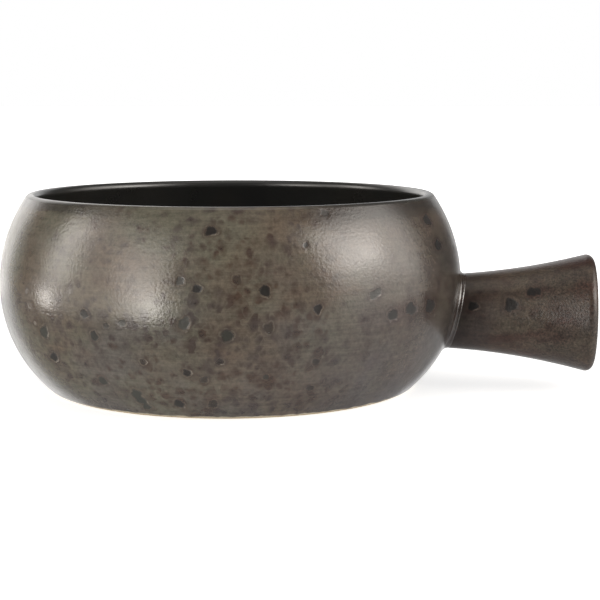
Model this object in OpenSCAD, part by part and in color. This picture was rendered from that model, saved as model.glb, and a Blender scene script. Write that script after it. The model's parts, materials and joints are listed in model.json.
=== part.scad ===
// French onion soup crock: a round-bellied stoneware bowl with one flared hollow side handle.
// Millimetres, +Z up. The foot stands on z = 0, the bowl is round the Z axis, the handle points to +X.

/* [Bowl] */
// Diameter at the widest point of the belly, over the glaze
belly_d = 140; // [124:1:160]
// Height of the lip above the table, over the glaze
bowl_h = 58.7; // [54:0.1:64]
// Height of the belly's widest point above the table
belly_z = 31.65; // [29:0.05:34]
// Radius of the wall's curve below the belly, over the glaze
lower_r = 41.5; // [39:0.5:46]
// Radius of the wall's curve above the belly, over the glaze
upper_r = 45.9; // [42:0.1:52]
// Thickness of the clay wall at the belly
wall_t = 4.2; // [3.4:0.1:5.4]
// Thickness of the clay at the lip, which is fully rounded
lip_t = 2.6; // [2:0.1:3.2]
// Thickness of the clay floor above the foot recess
floor_t = 4.4; // [3.4:0.1:6]
// Radius of the curve between the floor and the wall, inside
heel_r = 18; // [12:0.5:22]

/* [Foot] */
// Width of the flat ring that the bowl stands on
foot_w = 6; // [4:0.5:10]
// Depth of the recess inside the foot ring
recess_h = 1.8; // [1.2:0.1:2.6]
// Radius of the foot ring's outer edge
foot_edge = 0.5; // [0.3:0.1:0.6]
// Height of the bare clay band between the table and the outer glaze
foot_bare = 0.6; // [0.5:0.1:2]

/* [Handle] */
// Distance from the bowl's axis to the handle's tip
handle_reach = 109.85; // [100:0.05:125]
// Height of the handle's axis above the table
handle_z = 22.8; // [21:0.1:27]
// Diameter of the handle's throat, over the glaze
neck_d = 22; // [19:0.5:25]
// Distance from the bowl's axis to the throat, where the flare starts
neck_x = 56; // [50:1:62]
// Diameter of the handle's mouth, over the glaze
end_d = 35.2; // [30:0.1:39]
// Thickness of the handle's clay wall
handle_wall = 3.8; // [3:0.1:4.8]
// Thickness of the slip between the handle's root and the bowl
slip_t = 0.5; // [0.3:0.1:1]
// Leg of the fillet bead round the handle's root
bead = 1.6; // [1:0.1:2.4]

/* [Glaze] */
// Thickness of every glaze coat
glaze_t = 0.4; // [0.2:0.05:0.6]
// Depth of the glaze inside the handle's mouth
mouth_glaze = 9; // [5:0.5:16]

/* [Hidden] */
$fn = 180;

// The bowl's clay surfaces: radius at the belly outside and inside
belly_r = belly_d / 2;
clay_r = belly_r - glaze_t;
room_r = clay_r - wall_t;
// Centre and clay radius of the wall's two outer curves
lower_c = [belly_r - lower_r, belly_z];
upper_c = [belly_r - upper_r, belly_z];
lower_clay = lower_r - glaze_t;
upper_clay = upper_r - glaze_t;
// The rounded lip, tangent to the outer curve above the belly
lip_clay = lip_t / 2;
lip_z = bowl_h - glaze_t - lip_clay;
lip_x = upper_c.x + sqrt(pow(upper_clay - lip_clay, 2) - pow(lip_z - belly_z, 2));
lip_c = [lip_x, lip_z];
lip_angle = atan2(lip_z - belly_z, lip_x - upper_c.x);
// The inner curve above the belly runs from the belly to the lip and is tangent to it
lip_in = lip_x - room_r;
upper_in = (pow(lip_in, 2) + pow(lip_z - belly_z, 2) - pow(lip_clay, 2)) / (2 * (lip_clay - lip_in));
upper_in_c = [room_r - upper_in, belly_z];
// The inner curve below the belly, and the heel curve that leads from it into the floor
lower_in = lower_clay - wall_t;
floor_z = recess_h + floor_t;
heel_z = floor_z + heel_r;
heel_c = [lower_c.x + sqrt(pow(lower_in - heel_r, 2) - pow(heel_z - belly_z, 2)), heel_z];
heel_angle = atan2(heel_c.y - belly_z, heel_c.x - lower_c.x);
// The foot ring: outer edge curve and inner radius
edge_x = lower_c.x + sqrt(pow(lower_clay - foot_edge, 2) - pow(belly_z - foot_edge, 2));
edge_c = [edge_x, foot_edge];
edge_angle = atan2(foot_edge - belly_z, edge_x - lower_c.x);
foot_in = edge_x - foot_w;
recess_slope = 1.5;
recess_r = foot_in - recess_slope * recess_h;
// The handle's flare: one arc through the middle of the wall from the throat to the rounded mouth
mouth_r = handle_wall / 2 + glaze_t;
mouth_c = [end_d / 2 - mouth_r, handle_reach - mouth_r];
neck_mid = neck_d / 2 - mouth_r;
flare_rise = mouth_c.x - neck_mid;
flare_run = mouth_c.y - neck_x;
flare_mid = (pow(flare_run, 2) + pow(flare_rise, 2)) / (2 * flare_rise);
flare_c = [neck_mid + flare_mid, neck_x];
flare_angle = atan2(mouth_c.y - flare_c.y, mouth_c.x - flare_c.x);
flare_clay = flare_mid - handle_wall / 2;
flare_bore = flare_mid + handle_wall / 2;
// The bead's outer edge stands on a circle round the handle's axis
root_x = bowl_out(handle_z, 0);
bead_r = flare_r(root_x, flare_clay - glaze_t) + bead;
// Sizes that only have to reach past the part
far = 4 * belly_r;
// Steps round the bead and along its curve
bead_steps = 96;
curve_steps = 6;

// Outer radius of the bowl at a height, grown outwards from the clay
function bowl_out(z, grow) = z < belly_z
  ? lower_c.x + sqrt(pow(lower_clay + grow, 2) - pow(z - belly_z, 2))
  : upper_c.x + sqrt(pow(upper_clay + grow, 2) - pow(z - belly_z, 2));

// Distance of the bowl's outer surface from its axis plane, at a radius and angle round the handle
function bowl_x(r, a, grow) = sqrt(pow(bowl_out(handle_z + r * sin(a), grow), 2) - pow(r * cos(a), 2));

// Radius of a handle surface at a distance from the bowl's axis: straight up to the throat, then flared
function flare_r(x, arc) = flare_c.x - sqrt(pow(arc, 2) - pow(max(x - neck_x, 0), 2));

// Where a flare surface meets the bowl's grown surface, found by repeated substitution
function meet(a, arc, grow, x, steps = 8) =
  steps == 0 ? [x, flare_r(x, arc)]
  : meet(a, arc, grow, bowl_x(flare_r(x, arc), a, grow), steps - 1);

// A point on the bowl's grown surface at a radius round the handle
function on_bowl(r, a, grow) = [bowl_x(r, a, grow), r];

// A share of the way from one number to another
function blend(p, q, t) = p + (q - p) * t;

// A point of the fillet curve, which starts along the bowl and ends along the handle
function fillet(p, corner, q, t) = blend(blend(p, corner, t), blend(corner, q, t), t);

// The bead's section at an angle round the handle, as distances along and from the handle's axis
function bead_section(a) =
  let (
    on_belly = on_bowl(bead_r, a, glaze_t),
    corner = meet(a, flare_clay - glaze_t, glaze_t, root_x),
    on_handle = meet(a, flare_clay - glaze_t, glaze_t + bead, root_x),
    under_glaze = meet(a, flare_clay, glaze_t + bead, root_x),
    root_out = meet(a, flare_clay, slip_t, root_x),
    root_in = meet(a, flare_bore, slip_t, root_x),
    wall_in = meet(a, flare_bore, 0, root_x)
  )
  concat(
    [for (i = [0 : curve_steps]) fillet(on_belly, corner, on_handle, i / curve_steps)],
    [under_glaze, root_out],
    [for (t = [1 / 3, 2 / 3]) on_bowl(blend(root_out.y, root_in.y, t), a, slip_t)],
    [root_in, wall_in],
    [for (t = [1 / 4, 1 / 2, 3 / 4, 1]) on_bowl(blend(wall_in.y, bead_r, t), a, 0)]
  );

// The section plane below the rounded lip, cut off where the lip's curve starts on each side
module under_lip() {
  polygon([lip_c, lip_c + far * [cos(lip_angle), sin(lip_angle)], [2 * far, -far], [-far, -far],
    [-far, belly_z], upper_in_c]);
}

// The section plane behind the rounded mouth of the handle
module behind_mouth() {
  translate(mouth_c)
    rotate(flare_angle)
      translate([-far, 0])
        square(2 * far);
}

// Section inside the bowl's outer surface, grown outwards from the clay
module outside(grow) {
  square([lower_c.x, belly_z]);
  intersection() {
    translate(lower_c)
      circle(lower_clay + grow);
    square([far, belly_z]);
  }
  translate([0, belly_z])
    square([upper_c.x, upper_clay + grow]);
  intersection() {
    translate(upper_c)
      circle(upper_clay + grow);
    translate([0, belly_z])
      square(far);
  }
}

// Section of the bowl's inside, shrunk inwards from the clay
module inside(shrink) {
  polygon([[0, floor_z + shrink], [heel_c.x, floor_z + shrink], heel_c, lower_c, [0, belly_z]]);
  translate(heel_c)
    circle(heel_r - shrink);
  intersection() {
    translate(lower_c)
      circle(lower_in - shrink);
    polygon([lower_c, lower_c + far * [cos(heel_angle), sin(heel_angle)], lower_c + [far, 0]]);
  }
  translate([0, belly_z])
    square([upper_in_c.x, upper_in - shrink]);
  intersection() {
    translate(upper_in_c)
      circle(upper_in - shrink);
    translate([0, belly_z])
      square(far);
  }
}

// Section of the corner that the foot's rounded edge takes off
module foot_corner() {
  difference() {
    polygon([edge_c, [edge_x, -far], [far, -far],
      edge_c + far * [cos(edge_angle), sin(edge_angle)]]);
    translate(edge_c)
      circle(foot_edge);
  }
}

// Section of the recess under the bowl, with its sloping side
module recess() {
  polygon([[0, -recess_h], [foot_in, -recess_h], [foot_in, 0], [recess_r, recess_h], [0, recess_h]]);
}

// Section of the handle's wall between two arcs: straight up to the throat, then flared to the mouth
module flare(arc_out, arc_in) {
  translate([flare_c.x - arc_in, 0])
    square([arc_in - arc_out, neck_x]);
  intersection() {
    difference() {
      translate(flare_c)
        circle(arc_in);
      translate(flare_c)
        circle(arc_out);
    }
    translate([0, neck_x])
      square([end_d, handle_reach]);
    behind_mouth();
  }
}

// Turns a section round the handle's axis
module about_handle() {
  translate([0, 0, handle_z])
    rotate([0, 90, 0])
      rotate_extrude()
        children();
}

// The bowl's outer surface as a full solid, which the handle's root is cut to; it starts at the back
module bowl_former(grow) {
  rotate(180)
    rotate_extrude()
      outside(grow);
}

module bowl_body() {
  color([0.78, 0.68, 0.55])
    rotate_extrude() {
      difference() {
        intersection() {
          outside(0);
          under_lip();
        }
        inside(0);
        foot_corner();
        recess();
      }
      translate(lip_c)
        circle(lip_clay);
    }
}

module handle() {
  color([0.76, 0.66, 0.53])
    difference() {
      about_handle() {
        flare(flare_clay, flare_bore);
        translate(mouth_c)
          circle(handle_wall / 2);
      }
      bowl_former(slip_t);
    }
}

module luting_slip() {
  sections = [for (i = [0 : bead_steps - 1]) bead_section(360 * i / bead_steps)];
  count = len(sections[0]);
  points = [
    for (i = [0 : bead_steps - 1], p = sections[i])
      let (a = 360 * i / bead_steps)
        [p.x, p.y * cos(a), handle_z + p.y * sin(a)]
  ];
  faces = [
    for (i = [0 : bead_steps - 1], j = [0 : count - 1])
      let (
        next_i = (i + 1) % bead_steps * count,
        next_j = (j + 1) % count
      )
        each [
          [i * count + j, i * count + next_j, next_i + next_j],
          [i * count + j, next_i + next_j, next_i + j]
        ]
  ];
  color([0.34, 0.29, 0.25])
    polyhedron(points, faces);
}

module inner_glaze() {
  color([0.07, 0.07, 0.075])
    rotate_extrude()
      difference() {
        union() {
          intersection() {
            inside(0);
            under_lip();
          }
          translate(lip_c)
            circle(lip_clay + glaze_t);
        }
        inside(glaze_t);
        difference() {
          intersection() {
            outside(glaze_t);
            under_lip();
          }
          inside(0);
        }
        translate(lip_c)
          circle(lip_clay);
      }
}

module outer_glaze() {
  color([0.36, 0.32, 0.28])
    difference() {
      rotate_extrude()
        intersection() {
          difference() {
            outside(glaze_t);
            outside(0);
          }
          under_lip();
          translate([0, foot_bare])
            square(far);
        }
      translate([0, 0, handle_z])
        rotate([0, 90, 0])
          cylinder(r = bead_r, h = far);
    }
}

module underside_glaze() {
  color([0.33, 0.29, 0.26])
    translate([0, 0, recess_h - glaze_t])
      cylinder(r = recess_r, h = glaze_t);
}

module handle_glaze() {
  color([0.31, 0.26, 0.23])
    difference() {
      about_handle()
        difference() {
          union() {
            flare(flare_clay - glaze_t, flare_clay);
            intersection() {
              flare(flare_bore, flare_bore + glaze_t);
              translate([0, handle_reach - mouth_glaze])
                square(far);
            }
            translate(mouth_c)
              circle(mouth_r);
          }
          flare(flare_clay, flare_bore);
          translate(mouth_c)
            circle(handle_wall / 2);
        }
      bowl_former(glaze_t + bead);
    }
}

bowl_body();
handle();
luting_slip();
inner_glaze();
outer_glaze();
underside_glaze();
handle_glaze();
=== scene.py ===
import json
import math
import random

import bpy
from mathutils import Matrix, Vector, kdtree

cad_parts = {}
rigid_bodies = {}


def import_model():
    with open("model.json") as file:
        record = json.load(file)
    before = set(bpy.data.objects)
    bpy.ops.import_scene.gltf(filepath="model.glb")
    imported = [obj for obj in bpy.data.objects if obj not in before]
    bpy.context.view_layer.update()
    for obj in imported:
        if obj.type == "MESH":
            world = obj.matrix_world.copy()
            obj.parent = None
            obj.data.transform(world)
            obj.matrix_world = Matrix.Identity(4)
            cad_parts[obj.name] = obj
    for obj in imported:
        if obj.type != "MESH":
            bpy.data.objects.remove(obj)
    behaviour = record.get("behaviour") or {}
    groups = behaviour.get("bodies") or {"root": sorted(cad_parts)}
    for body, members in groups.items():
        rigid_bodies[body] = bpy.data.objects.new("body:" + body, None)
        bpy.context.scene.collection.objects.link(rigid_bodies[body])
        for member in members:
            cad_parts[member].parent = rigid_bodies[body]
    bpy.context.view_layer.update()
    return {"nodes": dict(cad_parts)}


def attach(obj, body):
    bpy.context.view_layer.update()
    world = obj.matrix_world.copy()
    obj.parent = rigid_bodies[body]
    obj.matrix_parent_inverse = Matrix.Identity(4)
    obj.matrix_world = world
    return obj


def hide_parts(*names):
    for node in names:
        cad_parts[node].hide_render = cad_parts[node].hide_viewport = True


bpy.ops.object.select_all(action="SELECT")
bpy.ops.object.delete()
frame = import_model()
nodes = frame["nodes"]
mm = 0.001
print("crock: CAD frame loaded,", len(nodes), "nodes")


# Small tools for the edit mode work, sizes in mm and degrees

tools = {
    "weld": 0.002,
    "crease": 40,
}


def clearSelection():
    if bpy.context.mode != "OBJECT":
        bpy.ops.object.mode_set(mode="OBJECT")
    bpy.ops.object.select_all(action="DESELECT")


def pick(piece):
    clearSelection()
    piece.select_set(True)
    bpy.context.view_layer.objects.active = piece


def startSection(name, x, z):
    # a tiny plane merged to one point, from which the section is drawn in the XZ plane
    clearSelection()
    bpy.ops.mesh.primitive_plane_add(size=mm)
    piece = bpy.context.object
    piece.name = name
    piece.data.name = name
    bpy.ops.object.mode_set(mode="EDIT")
    bpy.ops.mesh.select_all(action="SELECT")
    bpy.ops.mesh.merge(type="CENTER")
    bpy.ops.transform.translate(value=(x * mm, 0, z * mm))
    return piece


def lineBy(x, z):
    bpy.ops.mesh.extrude_vertices_move(TRANSFORM_OT_translate={"value": (x * mm, 0, z * mm)})


def arcBy(centre, degrees, steps):
    # the last point turns about a centre; positive goes from +X towards +Z
    bpy.ops.mesh.spin(steps=steps, angle=math.radians(degrees),
                      center=(centre[0] * mm, 0, centre[1] * mm), axis=(0, 1, 0))


def turnSection(steps, centre=(0, 0, 0), axis=(0, 0, 1)):
    # throws the drawn section round like clay on the wheel
    bpy.ops.mesh.select_all(action="SELECT")
    bpy.ops.mesh.spin(steps=steps, angle=math.tau, center=centre, axis=axis)
    bpy.ops.mesh.select_all(action="SELECT")
    bpy.ops.mesh.remove_doubles(threshold=tools["weld"] * mm)
    bpy.ops.mesh.select_all(action="SELECT")
    bpy.ops.mesh.normals_make_consistent(inside=False)
    bpy.ops.object.mode_set(mode="OBJECT")


def cutAway(piece, cutter):
    pick(piece)
    cut = piece.modifiers.new("cut", "BOOLEAN")
    cut.operation = "DIFFERENCE"
    cut.solver = "EXACT"
    cut.object = cutter
    bpy.ops.object.modifier_apply(modifier=cut.name)
    bpy.data.objects.remove(cutter)


def smoothOver(piece, degrees):
    pick(piece)
    bpy.ops.object.shade_smooth_by_angle(angle=math.radians(degrees))


def polar(centre, radius, degrees):
    a = math.radians(degrees)
    return centre[0] + radius * math.cos(a), centre[1] + radius * math.sin(a)


def bearing(start, end):
    return math.degrees(math.atan2(end[1] - start[1], end[0] - start[0]))


# The bowl's curves in mm, as radius from the axis and height above the table

bowl = {
    "upperCentre": (24.1, 31.65),
    "upperRadius": 45.9,
    "lowerCentre": (28.5, 31.65),
    "lowerRadius": 41.5,
    "lipCentre": (60.308, 57.0),
    "innerUpperCentre": (13.24, 31.65),
    "heelCentre": (45.87, 24.2),
    "floorHeight": 6.6,
    "glazeCoat": 0.4,
    "bareFoot": 0.6,
}
lipOut = bearing(bowl["upperCentre"], bowl["lipCentre"])
lipIn = bearing(bowl["innerUpperCentre"], bowl["lipCentre"])
heelTurn = bearing(bowl["lowerCentre"], bowl["heelCentre"])


# Camera at the photograph's angle, place in mm

camera = {
    "place": (58.125, -464.652, 89.859),
    "tilt": 82.156,
    "turn": 4.56,
    "lens": 92.062,
    "sensor": 36,
    "frame": 600,
}
clearSelection()
bpy.ops.object.camera_add(location=[v * mm for v in camera["place"]],
                          rotation=(math.radians(camera["tilt"]), 0, math.radians(camera["turn"])))
cam = bpy.context.object
cam.name = "crockCamera"
cam.data.sensor_fit = "HORIZONTAL"
cam.data.sensor_width = camera["sensor"]
cam.data.lens = camera["lens"]
cam.data.clip_start = 0.01
cam.data.clip_end = 60
bpy.context.scene.camera = cam
bpy.context.view_layer.update()


def sightLine(across, down):
    # the ray through a pixel of the 600 by 600 frame
    half = camera["frame"] / 2
    reach = camera["lens"] / camera["sensor"] * camera["frame"]
    aim = cam.matrix_world.to_3x3() @ Vector((across - half, half - down, -reach))
    return cam.matrix_world.translation.copy(), aim.normalized()


# Outer glaze: a closed coat from the lip's shoulder down to the bare foot

outer = {
    "aroundSteps": 720,
    "upperSteps": 46,
    "lowerSteps": 58,
    "backSteps": 7,
    "seatRadius": 12.995,
    "seatHeight": 22.8,
    "cutterSides": 192,
    "cutterLength": 60,
    "cutterMiddle": 75,
}


def drawOuterGlaze():
    coat = bowl["glazeCoat"]
    lower = bowl["lowerCentre"]
    clayRadius = bowl["lowerRadius"] - coat
    drop = bowl["bareFoot"] - lower[1]
    lowAngle = math.degrees(math.asin(drop / bowl["lowerRadius"]))
    lowBack = math.degrees(math.asin(drop / clayRadius))
    low = polar(lower, bowl["lowerRadius"], lowAngle)
    lowClay = polar(lower, clayRadius, lowBack)
    piece = startSection("outerGlaze", *polar(bowl["upperCentre"], bowl["upperRadius"], lipOut))
    arcBy(bowl["upperCentre"], -lipOut, outer["upperSteps"])
    arcBy(lower, lowAngle, outer["lowerSteps"])
    lineBy(lowClay[0] - low[0], lowClay[1] - low[1])
    arcBy(lower, -lowBack, outer["backSteps"])
    arcBy(bowl["upperCentre"], lipOut, outer["backSteps"])
    lineBy(*polar((0, 0), coat, lipOut))
    turnSection(outer["aroundSteps"])
    return piece


outerGlaze = drawOuterGlaze()
clearSelection()
bpy.ops.mesh.primitive_cylinder_add(vertices=outer["cutterSides"], radius=outer["seatRadius"] * mm,
                                    depth=outer["cutterLength"] * mm, rotation=(0, math.pi / 2, 0),
                                    location=(outer["cutterMiddle"] * mm, 0, outer["seatHeight"] * mm))
cutAway(outerGlaze, bpy.context.object)
smoothOver(outerGlaze, tools["crease"])
print("crock: outer glaze", len(outerGlaze.data.polygons), "faces")


# Inner glaze: black coat over the lip, the wall and the floor

inner = {
    "aroundSteps": 360,
    "floorParts": (0.35, 0.35, 0.3),
    "heelSteps": 16,
    "lowerSteps": 8,
    "upperSteps": 14,
    "lipSteps": 20,
    "lipBackSteps": 8,
    "upperBackSteps": 6,
    "lowerBackSteps": 4,
    "heelBackSteps": 6,
}


def drawInnerGlaze():
    piece = startSection("innerGlaze", 0, bowl["floorHeight"])
    for part in inner["floorParts"]:
        lineBy(bowl["heelCentre"][0] * part, 0)
    arcBy(bowl["heelCentre"], 90 + heelTurn, inner["heelSteps"])
    arcBy(bowl["lowerCentre"], -heelTurn, inner["lowerSteps"])
    arcBy(bowl["innerUpperCentre"], lipIn, inner["upperSteps"])
    arcBy(bowl["lipCentre"], lipOut - lipIn - 180, inner["lipSteps"])
    lineBy(*polar((0, 0), -bowl["glazeCoat"], lipOut))
    arcBy(bowl["lipCentre"], 180 + lipIn - lipOut, inner["lipBackSteps"])
    arcBy(bowl["innerUpperCentre"], -lipIn, inner["upperBackSteps"])
    arcBy(bowl["lowerCentre"], heelTurn, inner["lowerBackSteps"])
    arcBy(bowl["heelCentre"], -90 - heelTurn, inner["heelBackSteps"])
    lineBy(-bowl["heelCentre"][0], 0)
    turnSection(inner["aroundSteps"])
    return piece


innerGlaze = drawInnerGlaze()
smoothOver(innerGlaze, tools["crease"])
print("crock: inner glaze", len(innerGlaze.data.polygons), "faces")


# Handle glaze: the flared coat, over the rounded mouth and a little way into the bore

handle = {
    "axisHeight": 22.8,
    "neckX": 56,
    "flareRadius": 202.32,
    "flareOffset": 213.32,
    "mouthX": 107.55,
    "mouthOffset": 15.3,
    "mouthRadius": 2.3,
    "boreDepth": 9,
    "aroundSteps": 320,
    "flareSteps": 130,
    "mouthSteps": 20,
    "boreSteps": 8,
    "boreBackSteps": 4,
    "mouthBackSteps": 10,
    "flareBackSteps": 16,
}

# the former that trims its root: how far it is swelled over the bowl, and how far down it goes
former = {
    "lift": 1.6,
    "lowAngle": -50,
    "upperSteps": 24,
    "lowerSteps": 36,
    "aroundSteps": 360,
}


def drawHandleGlaze():
    coat = bowl["glazeCoat"]
    flare = (handle["neckX"], handle["axisHeight"] + handle["flareOffset"])
    mouth = (handle["mouthX"], handle["axisHeight"] + handle["mouthOffset"])
    toMouth = bearing(flare, mouth)
    boreRadius = handle["flareRadius"] + 2 * handle["mouthRadius"]
    boreX = handle["mouthX"] + handle["mouthRadius"] - handle["boreDepth"]
    boreEnd = -math.degrees(math.acos((boreX - flare[0]) / boreRadius))
    piece = startSection("handleGlaze", *polar(flare, handle["flareRadius"], -90))
    arcBy(flare, 90 + toMouth, handle["flareSteps"])
    arcBy(mouth, -180, handle["mouthSteps"])
    arcBy(flare, boreEnd - toMouth, handle["boreSteps"])
    lineBy(*polar((0, 0), -coat, boreEnd))
    arcBy(flare, toMouth - boreEnd, handle["boreBackSteps"])
    arcBy(mouth, 180, handle["mouthBackSteps"])
    arcBy(flare, -90 - toMouth, handle["flareBackSteps"])
    lineBy(0, coat)
    turnSection(handle["aroundSteps"], centre=(0, 0, handle["axisHeight"] * mm), axis=(1, 0, 0))
    return piece


def drawBowlFormer():
    # the bowl's solid outside form, swelled a little, to trim the handle's root
    top = polar(bowl["upperCentre"], bowl["upperRadius"] + former["lift"], lipOut)
    low = polar(bowl["lowerCentre"], bowl["lowerRadius"] + former["lift"], former["lowAngle"])
    piece = startSection("bowlFormer", 0, top[1])
    lineBy(top[0], 0)
    arcBy(bowl["upperCentre"], -lipOut, former["upperSteps"])
    arcBy(bowl["lowerCentre"], former["lowAngle"], former["lowerSteps"])
    lineBy(-low[0], 0)
    turnSection(former["aroundSteps"])
    return piece


handleGlaze = drawHandleGlaze()
cutAway(handleGlaze, drawBowlFormer())
smoothOver(handleGlaze, tools["crease"])
print("crock: handle glaze", len(handleGlaze.data.polygons), "faces")


# Seam bead: the slip fillet round the handle's root, smoothed from the CAD node

seam = {
    "weld": 0.005,
    "crease": 50,
}


def makeSeamBead():
    clearSelection()
    piece = nodes["luting_slip"].copy()
    piece.data = nodes["luting_slip"].data.copy()
    piece.parent = None
    for key in list(piece.keys()):
        del piece[key]
    piece.name = "seamBead"
    piece.data.name = "seamBead"
    bpy.context.collection.objects.link(piece)
    pick(piece)
    bpy.ops.object.mode_set(mode="EDIT")
    bpy.ops.mesh.select_all(action="SELECT")
    bpy.ops.mesh.remove_doubles(threshold=seam["weld"] * mm)
    bpy.ops.object.mode_set(mode="OBJECT")
    smoothOver(piece, seam["crease"])
    return piece


seamBead = makeSeamBead()
print("crock: seam bead", len(seamBead.data.polygons), "faces")


# Iron specks. A mark is a pixel across and down in the 600 by 600 frame, a size in mm,
# a tone from charcoal 0 to grey green 1 (2 is a pale one), and how strong its middle is

specks = {
    "bowl": [
        (211, 231, 3.0, 0.05, 1.0), (180, 281, 2.4, 0.55, 0.8), (197, 289, 2.5, 0.0, 1.0),
        (265, 291, 3.0, 0.15, 1.0), (184, 324, 3.4, 0.9, 0.9), (227, 336, 3.4, 0.8, 0.85),
        (269, 328, 2.8, 0.1, 0.4), (84, 314, 2.6, 0.3, 0.9), (94, 336, 2.6, 0.5, 0.9),
        (44, 332, 3.6, 0.8, 0.9), (54, 357, 3.0, 0.2, 0.9), (106, 326, 1.8, 0.4, 0.6),
        (122, 323, 2.2, 0.7, 0.7), (103, 381, 2.8, 0.9, 0.9), (137, 395, 3.6, 0.9, 0.9),
        (142, 401, 3.0, 0.9, 0.9), (147, 407, 2.4, 0.9, 0.9), (128, 411, 1.8, 0.8, 0.9),
        (179, 404, 3.0, 0.2, 0.9), (213, 404, 2.8, 0.1, 0.6), (187, 373, 2.3, 0.1, 0.8),
        (204, 380, 2.3, 0.4, 0.5), (220, 362, 2.1, 0.1, 0.45), (318, 309, 2.6, 0.0, 0.95),
        (306, 245, 1.6, 0.1, 0.9), (393, 315, 3.5, 0.4, 0.95), (411, 309, 4.0, 0.25, 1.0),
        (430, 306, 4.2, 0.2, 1.0), (374, 295, 2.8, 0.9, 0.8), (378, 292, 2.4, 0.9, 0.8),
        (427, 220, 3.6, 0.2, 0.95), (438, 245, 3.4, 0.2, 0.95), (310, 388, 2.2, 0.1, 0.55),
        (316, 362, 2.2, 0.1, 0.6), (266, 377, 1.7, 0.7, 0.7), (237, 280, 2.6, 0.1, 0.35),
        (143, 362, 2.0, 0.2, 0.4), (325, 213, 2.4, 0.6, 0.5), (27, 291, 1.6, 2.0, 0.25),
        (30, 306, 2.4, 2.0, 0.3), (35, 323, 1.5, 2.0, 0.4), (68, 290, 2.0, 2.0, 0.2),
    ],
    "handle": [
        (473, 306, 2.9, 0.0, 1.0), (511, 305, 4.1, 0.0, 1.0),
        (532, 292, 3.1, 0.0, 1.0), (537, 291, 2.5, 0.0, 0.9),
    ],
    "seed": 23,
    # outline of a speck: waves round it and their reach
    "lobes": ((2, 0.12), (3, 0.09), (4, 0.06), (5, 0.06)),
    "lobeSpread": (0.5, 1.2),
    # a painted glint on one side of each speck's rim: its lean in degrees from the right, and its
    # strengths
    "glintLean": (-80, 20),
    "glintStrengths": (0.4, 0.6, 0.8, 1.0),
    "surround": 4,
    "facing": 0.2,
    "sinkFrom": -0.25,
    "sinkSpan": 0.6,
    "dish": 0.06,
    "handleDish": 0.03,
    # seeded ones behind: degrees round from the handle, heights and sizes in mm
    "backCount": 62,
    "backTries": 40,
    "backAround": (-8, 188),
    "backHeights": (3, 52),
    "backSizes": (1.6, 3.4),
    "backTones": (0.0, 0.1, 0.1, 0.3, 0.5, 0.8, 0.9),
    "backStrengths": (1.0, 0.9, 0.9, 0.6, 0.4),
    "backApart": 5,
    "castFrom": 200,
}


def pressSpecks(piece, marks, dish):
    # stores each point's place in its speck, then sinks the specks a little
    mesh = piece.data
    values = {"speckNear": -2.0, "speckTone": 0.5, "speckDark": 1.0, "speckSide": 0.0}
    values = {name: [start] * len(mesh.vertices) for name, start in values.items()}
    tree = kdtree.KDTree(len(mesh.vertices))
    for v in mesh.vertices:
        tree.insert(v.co, v.index)
    tree.balance()
    rng = random.Random(specks["seed"])
    for place, normal, size, tone, dark in marks:
        up = (Vector((0, 0, 1)) - normal * normal.z).normalized()
        side = up.cross(normal)
        lobes = [(count, reach * rng.uniform(*specks["lobeSpread"]), rng.uniform(0, math.tau))
                 for count, reach in specks["lobes"]]
        # lean and glinted: the side of the rim that gets a painted glint, mostly towards the right, and
        # how strong it is
        lean = math.radians(rng.uniform(*specks["glintLean"]))
        glinted = rng.choice(specks["glintStrengths"])
        half = size * mm / 2
        for co, index, gap in tree.find_range(place, half * specks["surround"]):
            if mesh.vertices[index].normal.dot(normal) < specks["facing"]:
                continue
            across = (co - place).dot(side)
            along = (co - place).dot(up)
            turn = math.atan2(along, across)
            swell = sum(reach * math.cos(count * turn + start) for count, reach, start in lobes)
            near = 1 - math.hypot(across, along) / (half * (1 + swell))
            if near > values["speckNear"][index]:
                values["speckNear"][index] = near
                values["speckTone"][index] = tone
                values["speckDark"][index] = dark
                values["speckSide"][index] = math.cos(turn - lean) * glinted
    for name in values:
        mesh.attributes.new(name, "FLOAT", "POINT").data.foreach_set("value", values[name])
    sink = piece.vertex_groups.new(name="sink")
    for index, near in enumerate(values["speckNear"]):
        if near > specks["sinkFrom"]:
            weight = min(1.0, (near - specks["sinkFrom"]) / specks["sinkSpan"])
            sink.add([index], weight, "REPLACE")
    pick(piece)
    press = piece.modifiers.new("press", "DISPLACE")
    press.vertex_group = "sink"
    press.mid_level = 0
    press.strength = -dish * mm
    bpy.ops.object.modifier_apply(modifier=press.name)


def onSurface(piece, marks):
    found = []
    for across, down, size, tone, dark in marks:
        start, aim = sightLine(across, down)
        hit, place, normal, face = piece.ray_cast(start, aim)
        if hit:
            # specks near the outline are drawn out a little round the bowl
            found.append((place.copy(), (normal - aim).normalized(), size, tone, dark))
    return found


def scatterBehind(piece):
    # seeded specks for the sides and back that the photograph doesn't show
    rng = random.Random(specks["seed"])
    away = specks["castFrom"] * mm
    found = []
    for attempt in range(specks["backCount"] * specks["backTries"]):
        if len(found) == specks["backCount"]:
            break
        around = math.radians(rng.uniform(*specks["backAround"]))
        height = rng.uniform(*specks["backHeights"])
        start = Vector((math.cos(around) * away, math.sin(around) * away, height * mm))
        aim = Vector((-math.cos(around), -math.sin(around), 0))
        hit, place, normal, face = piece.ray_cast(start, aim)
        size = rng.uniform(*specks["backSizes"])
        tone = rng.choice(specks["backTones"])
        dark = rng.choice(specks["backStrengths"])
        if not hit or normal.dot(start) < 0:
            continue
        if any((place - other[0]).length < specks["backApart"] * mm for other in found):
            continue
        found.append((place.copy(), normal.copy(), size, tone, dark))
    return found


bpy.context.view_layer.update()
bowlMarks = onSurface(outerGlaze, specks["bowl"]) + scatterBehind(outerGlaze)
pressSpecks(outerGlaze, bowlMarks, specks["dish"])
pressSpecks(handleGlaze, onSurface(handleGlaze, specks["handle"]), specks["handleDish"])
print("crock: specks pressed", len(bowlMarks))


# Small tools for the materials

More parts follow.
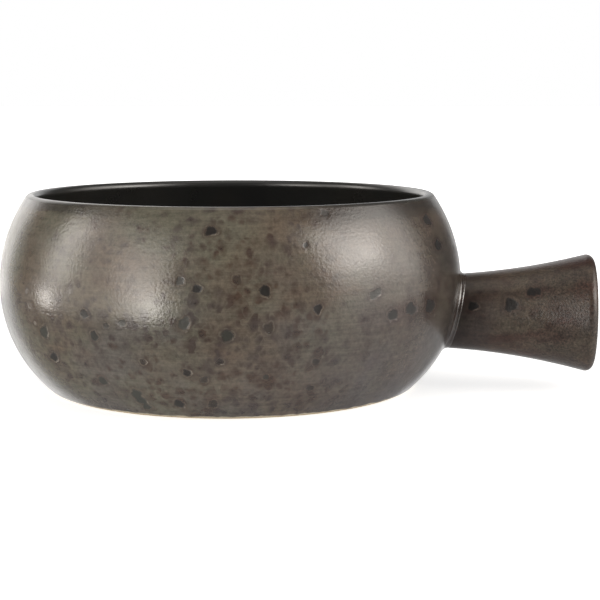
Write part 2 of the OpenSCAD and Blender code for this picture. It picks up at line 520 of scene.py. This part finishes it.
def shade(hexCode):
    # an sRGB colour code as linear values
    parts = [int(hexCode[i:i + 2], 16) / 255 for i in (0, 2, 4)]
    return [c / 12.92 if c <= 0.04045 else ((c + 0.055) / 1.055) ** 2.4 for c in parts] + [1]


def put(tree, kind, **settings):
    node = tree.nodes.new(kind)
    for key, value in settings.items():
        setattr(node, key, value)
    return node


def feed(tree, socket, value):
    # a plain number or colour is set, anything else is linked
    if isinstance(value, (int, float, list)):
        socket.default_value = value
    else:
        tree.links.new(value, socket)


def splitAxes(tree, vector):
    node = put(tree, "ShaderNodeSeparateXYZ")
    tree.links.new(vector, node.inputs["Vector"])
    return node.outputs


def objectPlace(tree):
    return put(tree, "ShaderNodeTexCoord").outputs["Object"]


def noise(tree, vector, scale, detail=2.0, roughness=0.5):
    node = put(tree, "ShaderNodeTexNoise")
    node.inputs["Scale"].default_value = scale
    node.inputs["Detail"].default_value = detail
    node.inputs["Roughness"].default_value = roughness
    tree.links.new(vector, node.inputs["Vector"])
    return node.outputs["Fac"]


def ramp(tree, value, low, high, start=0.0, end=1.0):
    node = put(tree, "ShaderNodeMapRange", interpolation_type="SMOOTHSTEP")
    node.inputs["From Min"].default_value = low
    node.inputs["From Max"].default_value = high
    node.inputs["To Min"].default_value = start
    node.inputs["To Max"].default_value = end
    tree.links.new(value, node.inputs["Value"])
    return node.outputs["Result"]


def sums(tree, operation, a, b):
    node = put(tree, "ShaderNodeMath", operation=operation)
    feed(tree, node.inputs[0], a)
    feed(tree, node.inputs[1], b)
    return node.outputs["Value"]


def plus(tree, a, b):
    return sums(tree, "ADD", a, b)


def minus(tree, a, b):
    return sums(tree, "SUBTRACT", a, b)


def times(tree, a, b):
    return sums(tree, "MULTIPLY", a, b)


def larger(tree, a, b):
    return sums(tree, "MAXIMUM", a, b)


def sway(tree, vector, reach, scale, detail=2.0, roughness=0.5):
    # noise to both sides of zero
    return times(tree, minus(tree, noise(tree, vector, scale, detail, roughness), 0.5), reach)


def blend(tree, mask, a, b, mode="MIX"):
    node = put(tree, "ShaderNodeMix", data_type="RGBA", blend_type=mode)
    for number, value in ((0, mask), (6, a), (7, b)):
        feed(tree, node.inputs[number], value)
    return node.outputs[2]


def brighten(tree, colour, level):
    node = put(tree, "ShaderNodeVectorMath", operation="SCALE")
    tree.links.new(colour, node.inputs[0])
    tree.links.new(level, node.inputs["Scale"])
    return node.outputs["Vector"]


def lengthOf(tree, vector):
    node = put(tree, "ShaderNodeVectorMath", operation="LENGTH")
    tree.links.new(vector, node.inputs[0])
    return node.outputs["Value"]


def stretch(tree, vector, scale, location=(0, 0, 0)):
    node = put(tree, "ShaderNodeMapping")
    node.inputs["Scale"].default_value = scale
    node.inputs["Location"].default_value = location
    tree.links.new(vector, node.inputs["Vector"])
    return node.outputs["Vector"]


def cells(tree, vector, scale):
    node = put(tree, "ShaderNodeTexVoronoi", feature="F1")
    node.inputs["Scale"].default_value = scale
    tree.links.new(vector, node.inputs["Vector"])
    split = put(tree, "ShaderNodeSeparateColor")
    tree.links.new(node.outputs["Color"], split.inputs["Color"])
    return node.outputs["Distance"], split.outputs["Red"]


# Reactive glaze: grey olive ground, rust drifts, purple brown blotches, fine lines and orange peel

reactive = {
    "olive": "666254",
    "umber": "63594d",
    "rust": "674f40",
    "ochre": "6d5c47",
    "mauve": "5c5653",
    "russet": "48372d",
    "plum": "443a37",
    "charcoal": "1b1512",
    "greyGreen": "3a3c34",
    "halo": "7d7465",
    # paleGlint: the painted glint on a speck's rim, and the colour of the pale flecks
    "paleGlint": "9b9387",
    # heights in metres where the ground turns warm or cool and the blotches thin out
    "warmFrom": (0.022, 0.036),
    "coolFrom": (0.036, 0.024),
    "thinFrom": (0.05, 0.03),
    "wobble": 0.003,
    # blotches: cells in a metre, and how strongly each size shows
    "smudges": ((150, 0.5), (245, 0.95), (400, 0.9)),
    # how fine each part of the pattern is, in waves to a metre
    "scale": {
        "wobble": 300, "patches": 42, "warm": 30, "cool": 55, "drift": 34, "crowd": 34, "hue": 60,
        "lines": 75, "grain": 900, "ragged": 800, "broken": 700, "finish": 120, "peel": 1300,
    },
    # how strongly each part shows
    "share": {
        "warm": 0.33, "cool": 0.6, "blotches": 0.85, "most": 0.9, "lines": 0.95, "grain": 1.2,
        "ragged": 0.7, "surround": 0.6, "ring": 0.5, "core": 0.95,
    },
    # bands across a speck: below 0 is outside its edge and 1 is its middle
    "band": {
        "surround": (-1.2, 0.0), "ringOut": (-0.42, -0.16), "ringIn": (0.1, -0.1),
        "core": (-0.14, 0.3), "rimOut": (-0.34, -0.1), "rimIn": (0.16, -0.04),
    },
    "rough": (0.19, 0.27),
    "pitRough": 0.12,
    # relief in mm
    "peel": 0.055,
    "lines": 0.022,
    "pit": 0.03,
}
sockets = {"Speck": -2.0, "Tone": 0.5, "Dark": 1.0, "Side": 0.0, "Blotches": 1.0, "Rust": 0.5}


def glazeColour(name):
    return shade(reactive[name])


def buildReactiveGlaze():
    tree = bpy.data.node_groups.new("reactiveGlaze", "ShaderNodeTree")
    for label, start in sockets.items():
        socket = tree.interface.new_socket(label, in_out="INPUT", socket_type="NodeSocketFloat")
        socket.default_value = start
    tree.interface.new_socket("Color", in_out="OUTPUT", socket_type="NodeSocketColor")
    for label in ("Roughness", "Height"):
        tree.interface.new_socket(label, in_out="OUTPUT", socket_type="NodeSocketFloat")
    given = put(tree, "NodeGroupInput").outputs
    result = put(tree, "NodeGroupOutput").inputs
    place = objectPlace(tree)
    axes = splitAxes(tree, place)

    scale = reactive["scale"]
    share = reactive["share"]
    band = reactive["band"]

    # coordinates with a wobble of about 1.5 mm, for blotches that aren't round
    wobble = put(tree, "ShaderNodeTexNoise")
    wobble.inputs["Scale"].default_value = scale["wobble"]
    wobble.inputs["Detail"].default_value = 2
    tree.links.new(place, wobble.inputs["Vector"])
    shift = put(tree, "ShaderNodeVectorMath", operation="MULTIPLY_ADD")
    tree.links.new(wobble.outputs["Color"], shift.inputs[0])
    shift.inputs[1].default_value = [reactive["wobble"]] * 3
    tree.links.new(place, shift.inputs[2])
    bent = shift.outputs["Vector"]

    # ground colour: olive and umber, warmer above the belly and greyer below it
    patches = ramp(tree, noise(tree, place, scale["patches"], 4, 0.6), 0.36, 0.64)
    ground = blend(tree, patches, glazeColour("olive"), glazeColour("umber"))
    warm = noise(tree, stretch(tree, place, (1, 1, 1.5), (0.05, 0.1, 0)), scale["warm"], 3, 0.55)
    warm = times(tree, ramp(tree, warm, 0.46, 0.66), ramp(tree, axes["Z"], *reactive["warmFrom"]))
    ground = blend(tree, times(tree, warm, share["warm"]), ground, glazeColour("ochre"))
    cool = noise(tree, stretch(tree, place, (1, 1, 1), (0.2, 0.3, 0.1)), scale["cool"], 3, 0.55)
    cool = times(tree, ramp(tree, cool, 0.42, 0.64), ramp(tree, axes["Z"], *reactive["coolFrom"]))
    ground = blend(tree, times(tree, cool, share["cool"]), ground, glazeColour("mauve"))
    drift = noise(tree, stretch(tree, place, (1, 1, 1.6), (0.3, 0.1, 0.2)), scale["drift"], 3, 0.6)
    drift = times(tree, ramp(tree, drift, 0.5, 0.75), given["Rust"])
    ground = blend(tree, drift, ground, glazeColour("rust"))

    # soft smudges in three sizes, thicker in some places than in others, russet to plum
    crowd = ramp(tree, noise(tree, place, scale["crowd"], 2, 0.5), 0.34, 0.6, 0.36, 0.52)
    crowd = times(tree, crowd, ramp(tree, axes["Z"], *reactive["thinFrom"], 0.72, 1.0))
    mask = None
    for fineness, weight in reactive["smudges"]:
        gap, chance = cells(tree, bent, fineness)
        reach = minus(tree, times(tree, chance, crowd), gap)
        spot = times(tree, ramp(tree, reach, -0.33, 0.27), weight)
        mask = spot if mask is None else plus(tree, mask, spot)
    mask = times(tree, times(tree, mask, given["Blotches"]), share["blotches"])
    mask = sums(tree, "MINIMUM", mask, share["most"])
    hue = noise(tree, stretch(tree, place, (1, 1, 1), (0.4, 0, 0.3)), scale["hue"], 2, 0.5)
    stain = blend(tree, ramp(tree, hue, 0.4, 0.6), glazeColour("russet"), glazeColour("plum"))
    colour = blend(tree, mask, ground, stain)

    # fine level lines and grain
    lines = noise(tree, stretch(tree, place, (1, 1, 14)), scale["lines"], 4, 0.7)
    grain = noise(tree, place, scale["grain"], 3, 0.7)
    level = plus(tree, times(tree, lines, share["lines"]), times(tree, grain, share["grain"]))
    colour = brighten(tree, colour, minus(tree, level, 0.05))

    # specks: a pit with an uneven edge, a stained surround, a pale broken rim, and a painted glint on one
    # side of that rim
    edge = plus(tree, given["Speck"], sway(tree, place, share["ragged"], scale["ragged"], 3, 0.65))
    around = times(tree, ramp(tree, edge, *band["surround"]), share["surround"])
    colour = blend(tree, around, colour, stain)
    ring = times(tree, ramp(tree, edge, *band["ringOut"]), ramp(tree, edge, *band["ringIn"]))
    broken = ramp(tree, noise(tree, place, scale["broken"], 2, 0.5), 0.4, 0.58, 0.08, 0.75)
    ring = times(tree, times(tree, ring, broken), share["ring"])
    colour = blend(tree, ring, colour, glazeColour("halo"))
    core = times(tree, ramp(tree, edge, *band["core"]), given["Dark"])
    pit = blend(tree, given["Tone"], glazeColour("charcoal"), glazeColour("greyGreen"))
    pit = blend(tree, ramp(tree, given["Tone"], 1.2, 1.8), pit, glazeColour("paleGlint"))
    colour = blend(tree, times(tree, core, share["core"]), colour, pit)
    # painted glint: the rim lightened on one side, set for each speck by Side
    rim = times(tree, ramp(tree, edge, *band["rimOut"]), ramp(tree, edge, *band["rimIn"]))
    paleGlint = times(tree, times(tree, rim, broken), ramp(tree, given["Side"], 0.4, 1.0))
    colour = blend(tree, paleGlint, colour, glazeColour("paleGlint"))
    tree.links.new(colour, result["Color"])

    # finish
    rough = ramp(tree, noise(tree, place, scale["finish"], 3, 0.6), 0.3, 0.7, *reactive["rough"])
    tree.links.new(plus(tree, rough, times(tree, core, reactive["pitRough"])), result["Roughness"])
    height = times(tree, noise(tree, place, scale["peel"], 2, 0.5), reactive["peel"])
    height = plus(tree, height, times(tree, lines, reactive["lines"]))
    height = minus(tree, height, times(tree, core, reactive["pit"]))
    tree.links.new(height, result["Height"])
    return tree


reactiveGlaze = buildReactiveGlaze()


def newMaterial(name):
    material = bpy.data.materials.new(name)
    material.use_nodes = True
    tree = material.node_tree
    return material, tree, tree.nodes["Principled BSDF"]


def addBump(tree, shader, height):
    # heights are in mm
    node = put(tree, "ShaderNodeBump")
    node.inputs["Strength"].default_value = 1.0
    node.inputs["Distance"].default_value = mm
    tree.links.new(height, node.inputs["Height"])
    tree.links.new(node.outputs["Normal"], shader.inputs["Normal"])


def reactiveNode(tree, blotches, rust, specked=True, soft=1.0):
    node = put(tree, "ShaderNodeGroup", node_tree=reactiveGlaze)
    node.inputs["Blotches"].default_value = blotches
    node.inputs["Rust"].default_value = rust
    if specked:
        near = put(tree, "ShaderNodeAttribute", attribute_name="speckNear")
        tree.links.new(times(tree, near.outputs["Fac"], soft), node.inputs["Speck"])
        for label in ("Tone", "Dark", "Side"):
            read = put(tree, "ShaderNodeAttribute", attribute_name="speck" + label)
            tree.links.new(read.outputs["Fac"], node.inputs[label])
    return node.inputs, node.outputs


# Brown glaze on the bowl and under its foot. Spans are places in metres, X towards the handle

brown = {
    "gloss": 2.0,
    "blotchesLeft": (-0.052, -0.022, 0.5, 1.0),
    "blotchesRight": (0.022, 0.046, 1.0, 0.5),
    "lipRight": (0.012, 0.045),
    "lipLeft": (-0.014, -0.045),
    "lipEdge": (0.0545, 0.0565),
    "shoulder": (0.0505, 0.056),
    "handleSide": (0.048, 0.07),
    "lowRight": (0.012, 0.036, 0.0, 0.34),
    "lowSide": (0.03, 0.02),
    "turned": (0.012, 0.05, 0.0, 0.7),
    "wiped": (0.0011, 0.0007, 0.0, 0.85),
    # how far the edges of the painted shade and of the mauve tint stray
    "stray": {"handleSide": 0.03, "shoulder": 0.006, "lipEdge": 0.003, "turned": 0.04},
    "drip": 0.0012,
    # shares of the painted shade beside the handle and along the lip
    "handleSideShade": 0.85,
    "lipShadeShare": 0.95,
    "turnedTint": "f0e6f4",
    "paintedShadeTint": "a3a4a9",
    "clay": "dccfb6",
}


def shadedLipSides(tree, axes):
    # the left and right sides of the bowl, where the lip gets painted shade: darker brown below it, and
    # the black left over its edge
    right = ramp(tree, axes["X"], *brown["lipRight"])
    return larger(tree, right, ramp(tree, axes["X"], *brown["lipLeft"]))


def brownGlazeMaterial(name, specked):
    material, tree, shader = newMaterial(name)
    place = objectPlace(tree)
    axes = splitAxes(tree, place)
    group, glaze = reactiveNode(tree, 1.0, 0.5, specked)
    left = ramp(tree, axes["X"], *brown["blotchesLeft"])
    right = ramp(tree, axes["X"], *brown["blotchesRight"])
    tree.links.new(times(tree, left, right), group["Blotches"])

    # painted shade, darker where less light falls: towards the handle and low down on the right, under
    # the lip at the right shoulder, and along the lip at both sides
    uneven = minus(tree, noise(tree, place, 45, 3, 0.6), 0.5)

    def strayed(axis, part):
        reach = times(tree, uneven, brown["stray"][part])
        return ramp(tree, plus(tree, axes[axis], reach), *brown[part])

    side = times(tree, strayed("X", "handleSide"), brown["handleSideShade"])
    shoulder = times(tree, strayed("Z", "shoulder"), ramp(tree, axes["X"], *brown["lipRight"]))
    lip = times(tree, strayed("Z", "lipEdge"), shadedLipSides(tree, axes))
    low = times(tree, ramp(tree, axes["X"], *brown["lowRight"]), ramp(tree, axes["Z"], *brown["lowSide"]))
    paintedShade = larger(tree, side, times(tree, larger(tree, shoulder, lip), brown["lipShadeShare"]))
    paintedShade = larger(tree, paintedShade, low)
    turned = strayed("X", "turned")
    colour = blend(tree, turned, glaze["Color"], shade(brown["turnedTint"]), "MULTIPLY")
    colour = blend(tree, paintedShade, colour, blend(tree, 1.0, colour, shade(brown["paintedShadeTint"]), "MULTIPLY"))
    if specked:
        # wiped so thin at the foot that the clay shows through
        edge = plus(tree, axes["Z"], sway(tree, place, brown["drip"], 260))
        colour = blend(tree, ramp(tree, edge, *brown["wiped"]), colour, shade(brown["clay"]))
    tree.links.new(colour, shader.inputs["Base Color"])
    tree.links.new(glaze["Roughness"], shader.inputs["Roughness"])
    shader.inputs["IOR"].default_value = brown["gloss"]
    addBump(tree, shader, glaze["Height"])
    return material


# Handle and seam glaze: reddish streaks along the handle, painted shade at both ends, grittier towards
# the mouth with painted glints in the grit

handleLook = {
    "streakTint": "dda6a6",
    "tint": "dccdc9",
    # root and end: painted shade at the handle's root against the bowl and at its mouth
    "root": (0.086, 0.068, 1.0, 0.55),
    "end": (0.086, 0.102, 1.0, 0.78),
    # gritGlint: where the grit grows along the handle, as a real bump and as flecks brightened in the
    # colour, painted glints
    "gritGlint": (0.072, 0.1, 0.7, 2.6),
    "grit": 0.03,
}


def handleGlazeMaterial(name, specked, extraRough, gloss):
    material, tree, shader = newMaterial(name)
    glaze = reactiveNode(tree, 0.5, 0.7, specked, 0.85)[1]
    place = objectPlace(tree)
    axes = splitAxes(tree, place)
    streak = noise(tree, stretch(tree, place, (0.4, 1, 1)), 130, 4, 0.65)
    streak = times(tree, ramp(tree, streak, 0.42, 0.68), 0.75)
    colour = blend(tree, streak, glaze["Color"], shade(handleLook["streakTint"]), "MULTIPLY")
    colour = blend(tree, 1.0, colour, shade(handleLook["tint"]), "MULTIPLY")
    # painted shade, darker at the root against the bowl and at the mouth
    endShade = ramp(tree, axes["X"], *handleLook["root"])
    endShade = times(tree, endShade, ramp(tree, axes["X"], *handleLook["end"]))
    # grit: a real bump, and in the colour painted glints that grow towards the mouth
    grit = noise(tree, place, 1700, 2, 0.6)
    gritGlint = ramp(tree, axes["X"], *handleLook["gritGlint"])
    level = plus(tree, 1.0, times(tree, minus(tree, grit, 0.5), gritGlint))
    colour = brighten(tree, colour, times(tree, endShade, level))
    tree.links.new(colour, shader.inputs["Base Color"])
    tree.links.new(plus(tree, glaze["Roughness"], extraRough), shader.inputs["Roughness"])
    height = times(tree, times(tree, grit, gritGlint), handleLook["grit"])
    shader.inputs["IOR"].default_value = gloss
    addBump(tree, shader, plus(tree, glaze["Height"], height))
    return material


# Black glaze inside: the brown coat climbs the outside of the lip nearly to its crest, less at the left
# and right sides, where the black left over the lip is a painted shade

black = {
    "gloss": 2.1,
    "dark": "272726",
    "pale": "2c2a27",
    "rough": (0.27, 0.34),
    "climbRadius": (0.0605, 0.0611),
    "climbHeight": (0.0555, 0.0565),
    "sideShadeShare": 0.85,
}


def blackGlazeMaterial():
    material, tree, shader = newMaterial("blackGlaze")
    place = objectPlace(tree)
    axes = splitAxes(tree, place)
    cloud = ramp(tree, noise(tree, place, 60, 3, 0.6), 0.35, 0.65)
    ground = blend(tree, cloud, shade(black["dark"]), shade(black["pale"]))
    radius = lengthOf(tree, stretch(tree, place, (1, 1, 0)))
    over = ramp(tree, plus(tree, radius, sway(tree, place, 0.0008, 160)), *black["climbRadius"])
    over = times(tree, over, ramp(tree, axes["Z"], *black["climbHeight"]))
    # painted shade: at the left and right sides the brown is held back and the black stays over the lip
    sideShade = times(tree, shadedLipSides(tree, axes), black["sideShadeShare"])
    over = times(tree, over, minus(tree, 1.0, sideShade))
    coat = reactiveNode(tree, 0.8, 0.5, False)[1]
    tree.links.new(blend(tree, over, ground, coat["Color"]), shader.inputs["Base Color"])
    rough = ramp(tree, noise(tree, place, 90, 3), 0.3, 0.7, *black["rough"])
    tree.links.new(rough, shader.inputs["Roughness"])
    shader.inputs["IOR"].default_value = black["gloss"]
    addBump(tree, shader, times(tree, noise(tree, place, 500, 2), 0.02))
    return material


# Bare clay of the foot and inside the handle

clay = {
    "fleck": "6a5a48",
    "rough": (0.78, 0.92),
}


def bareClayMaterial(name, pale, dark):
    material, tree, shader = newMaterial(name)
    place = objectPlace(tree)
    cloud = ramp(tree, noise(tree, place, 70, 4, 0.65), 0.3, 0.7)
    colour = blend(tree, cloud, shade(pale), shade(dark))
    gap, chance = cells(tree, place, 900)
    fleck = times(tree, ramp(tree, gap, 0.3, 0.15), ramp(tree, chance, 0.75, 0.8))
    colour = blend(tree, times(tree, fleck, 0.5), colour, shade(clay["fleck"]))
    tree.links.new(colour, shader.inputs["Base Color"])
    rough = ramp(tree, noise(tree, place, 400, 3), 0.3, 0.7, *clay["rough"])
    tree.links.new(rough, shader.inputs["Roughness"])
    addBump(tree, shader, times(tree, noise(tree, place, 1400, 4, 0.7), 0.05))
    return material


def dress(piece, material):
    if piece.data.materials:
        piece.data.materials[0] = material
    else:
        piece.data.materials.append(material)


dress(outerGlaze, brownGlazeMaterial("brownGlaze", specked=True))
dress(innerGlaze, blackGlazeMaterial())
dress(handleGlaze, handleGlazeMaterial("handleGlazeBrown", specked=True, extraRough=0.1, gloss=1.75))
dress(seamBead, handleGlazeMaterial("seamGlaze", specked=False, extraRough=-0.07, gloss=2.3))
dress(nodes["underside_glaze"], brownGlazeMaterial("undersideGlaze", specked=False))
dress(nodes["bowl_body"], bareClayMaterial("bareClay", pale="cdbfa4", dark="bba98a"))
dress(nodes["handle"], bareClayMaterial("handleClay", pale="c6b79b", dark="b39f80"))
print("crock: materials on", len(bpy.data.materials))


# The four drawn pieces ride on the one body, in place of their CAD nodes

for piece, node, slot in (
    (outerGlaze, "outer_glaze", "brown_glaze"),
    (innerGlaze, "inner_glaze", "black_glaze"),
    (handleGlaze, "handle_glaze", "handle_glaze"),
    (seamBead, "luting_slip", "glazed_slip"),
):
    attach(piece, "root")
    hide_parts(node)


# Studio: pale floor, softboxes left, right and above, white behind

studio = {
    "aim": (0, 0, 0.03),
    "away": 2.0,
    # softboxes: degrees round from the camera, degrees up from the table, watts for each square metre
    "boxes": {
        "leftFill": ((-85, -26), (-12, 45), 2.2),
        "leftBox": ((-50, -25), (-15, 32), 3.0),
        "leftLow": ((-42, -25), (-15, 16), 3.4),
        "leftHot": ((-37, -25), (-12, 3), 7.0),
        "leftStrip": ((-94, -77), (2, 36), 7.0),
        "leftSpot": ((-95, -87), (-9, -1), 28.0),
        "leftRim": ((-170, -130), (-8, 40), 2.2),
        "rightFill": ((56, 116), (-8, 50), 2.2),
        "rightBox": ((56, 109), (5, 45), 2.7),
        "rightCore": ((57, 90), (14, 38), 3.6),
        "rightHot": ((65, 86), (17, 31), 5.5),
        "topScrim": ((0, 0), (70, 110), 1.25),
    },
    "lampColour": (1.0, 0.955, 0.895),
    "ambient": 0.33,
    # what the gloss mirrors: white behind, a dim front, and the table by side
    "backdropAround": -163,
    "backdropEdge": (0.74, 0.88),
    "front": 0.05,
    "tableEdge": (0.0, -0.3),
    "tableLeft": (-0.25, -0.8, 0, 0.12),
    "tableRight": (0.25, 0.8, 0, 0.29),
    "tableBelow": (-0.5, -0.9, 0, 0.18),
    "tableBehind": (0.35, 0.85, 0, 0.27),
    # floor: metres across, and mm below the foot
    "floorSize": 14,
    "floorDrop": 0.05,
    "floorRough": 0.9,
    "floorColours": ("f0f0f0", "f3f3f2"),
    "floorGlow": (0.08, 0.5, 0.7, 1.0),
    "floorBounce": 0.3,
}


def addSoftbox(name):
    around, up, watts = studio["boxes"][name]
    a = math.radians(sum(around) / 2)
    e = math.radians(sum(up) / 2)
    aim = Vector(studio["aim"])
    away = Vector((math.sin(a) * math.cos(e), -math.cos(a) * math.cos(e), math.sin(e)))
    tall = 2 * studio["away"] * math.tan(math.radians(up[1] - up[0]) / 2)
    wide = 2 * studio["away"] * math.tan(math.radians(around[1] - around[0]) / 2) or tall
    clearSelection()
    bpy.ops.object.light_add(type="AREA", location=aim + away * studio["away"])
    lamp = bpy.context.object
    lamp.name = name
    lamp.rotation_euler = away.to_track_quat("Z", "Y").to_euler()
    lamp.data.shape = "RECTANGLE"
    lamp.data.size = wide
    lamp.data.size_y = tall
    lamp.data.energy = watts * wide * tall
    lamp.data.color = studio["lampColour"]
    lamp.visible_camera = False


def eitherLevel(tree, mask, off, on):
    node = put(tree, "ShaderNodeMix", data_type="FLOAT")
    for number, value in ((0, mask), (2, off), (3, on)):
        feed(tree, node.inputs[number], value)
    return node.outputs[0]


def setBackdrop():
    world = bpy.data.worlds.new("studioWorld")
    bpy.context.scene.world = world
    world.use_nodes = True
    tree = world.node_tree
    sky = tree.nodes["Background"]
    rays = put(tree, "ShaderNodeLightPath").outputs
    look = put(tree, "ShaderNodeTexCoord").outputs["Generated"]
    axes = splitAxes(tree, look)
    a = math.radians(studio["backdropAround"])
    facing = put(tree, "ShaderNodeVectorMath", operation="DOT_PRODUCT")
    tree.links.new(look, facing.inputs[0])
    facing.inputs[1].default_value = (math.sin(a), -math.cos(a), 0)
    white = ramp(tree, facing.outputs["Value"], *studio["backdropEdge"], studio["front"], 1.0)
    # the table shows in the gloss, paler to the sides
    low = ramp(tree, axes["Z"], *studio["tableEdge"])
    right = ramp(tree, axes["X"], *studio["tableRight"])
    sides = plus(tree, ramp(tree, axes["X"], *studio["tableLeft"]), right)
    table = plus(tree, times(tree, sides, low), ramp(tree, axes["Z"], *studio["tableBelow"]))
    behind = times(tree, low, ramp(tree, axes["Y"], *studio["tableBehind"]))
    mirrored = plus(tree, white, plus(tree, table, behind))
    above = ramp(tree, axes["Z"], -0.6, 0.8, studio["ambient"] * 0.9, studio["ambient"] * 1.2)
    level = eitherLevel(tree, rays["Is Glossy Ray"], above, mirrored)
    level = eitherLevel(tree, rays["Is Camera Ray"], level, 1.0)
    tree.links.new(level, sky.inputs["Strength"])
    sky.inputs["Color"].default_value = (1, 1, 1, 1)


def layFloor():
    clearSelection()
    bpy.ops.mesh.primitive_plane_add(size=studio["floorSize"], location=(0, 0, -studio["floorDrop"] * mm))
    floor = bpy.context.object
    floor.name = "studioFloor"
    material, tree, shader = newMaterial("paleFloor")
    place = objectPlace(tree)
    cloud = [shade(code) for code in studio["floorColours"]]
    tree.links.new(blend(tree, noise(tree, place, 3), *cloud), shader.inputs["Base Color"])
    shader.inputs["Roughness"].default_value = studio["floorRough"]
    shader.inputs["Emission Color"].default_value = (1, 1, 1, 1)
    # white to the camera with the object's shadow kept, and some light thrown back up
    rays = put(tree, "ShaderNodeLightPath").outputs
    glow = ramp(tree, lengthOf(tree, place), *studio["floorGlow"])
    glow = times(tree, rays["Is Camera Ray"], glow)
    bounce = times(tree, rays["Is Diffuse Ray"], studio["floorBounce"])
    tree.links.new(plus(tree, glow, bounce), shader.inputs["Emission Strength"])
    # nothing of the floor shows from below, so the foot can be looked at
    clear = put(tree, "ShaderNodeBsdfTransparent")
    sideOf = put(tree, "ShaderNodeMixShader")
    tree.links.new(put(tree, "ShaderNodeNewGeometry").outputs["Backfacing"], sideOf.inputs[0])
    tree.links.new(shader.outputs["BSDF"], sideOf.inputs[1])
    tree.links.new(clear.outputs["BSDF"], sideOf.inputs[2])
    tree.links.new(sideOf.outputs["Shader"], tree.nodes["Material Output"].inputs["Surface"])
    dress(floor, material)
    floor.visible_glossy = False
    floor.visible_shadow = False


for name in studio["boxes"]:
    addSoftbox(name)
setBackdrop()
layFloor()
bpy.context.scene.view_settings.view_transform = "Standard"
print("crock: studio set")
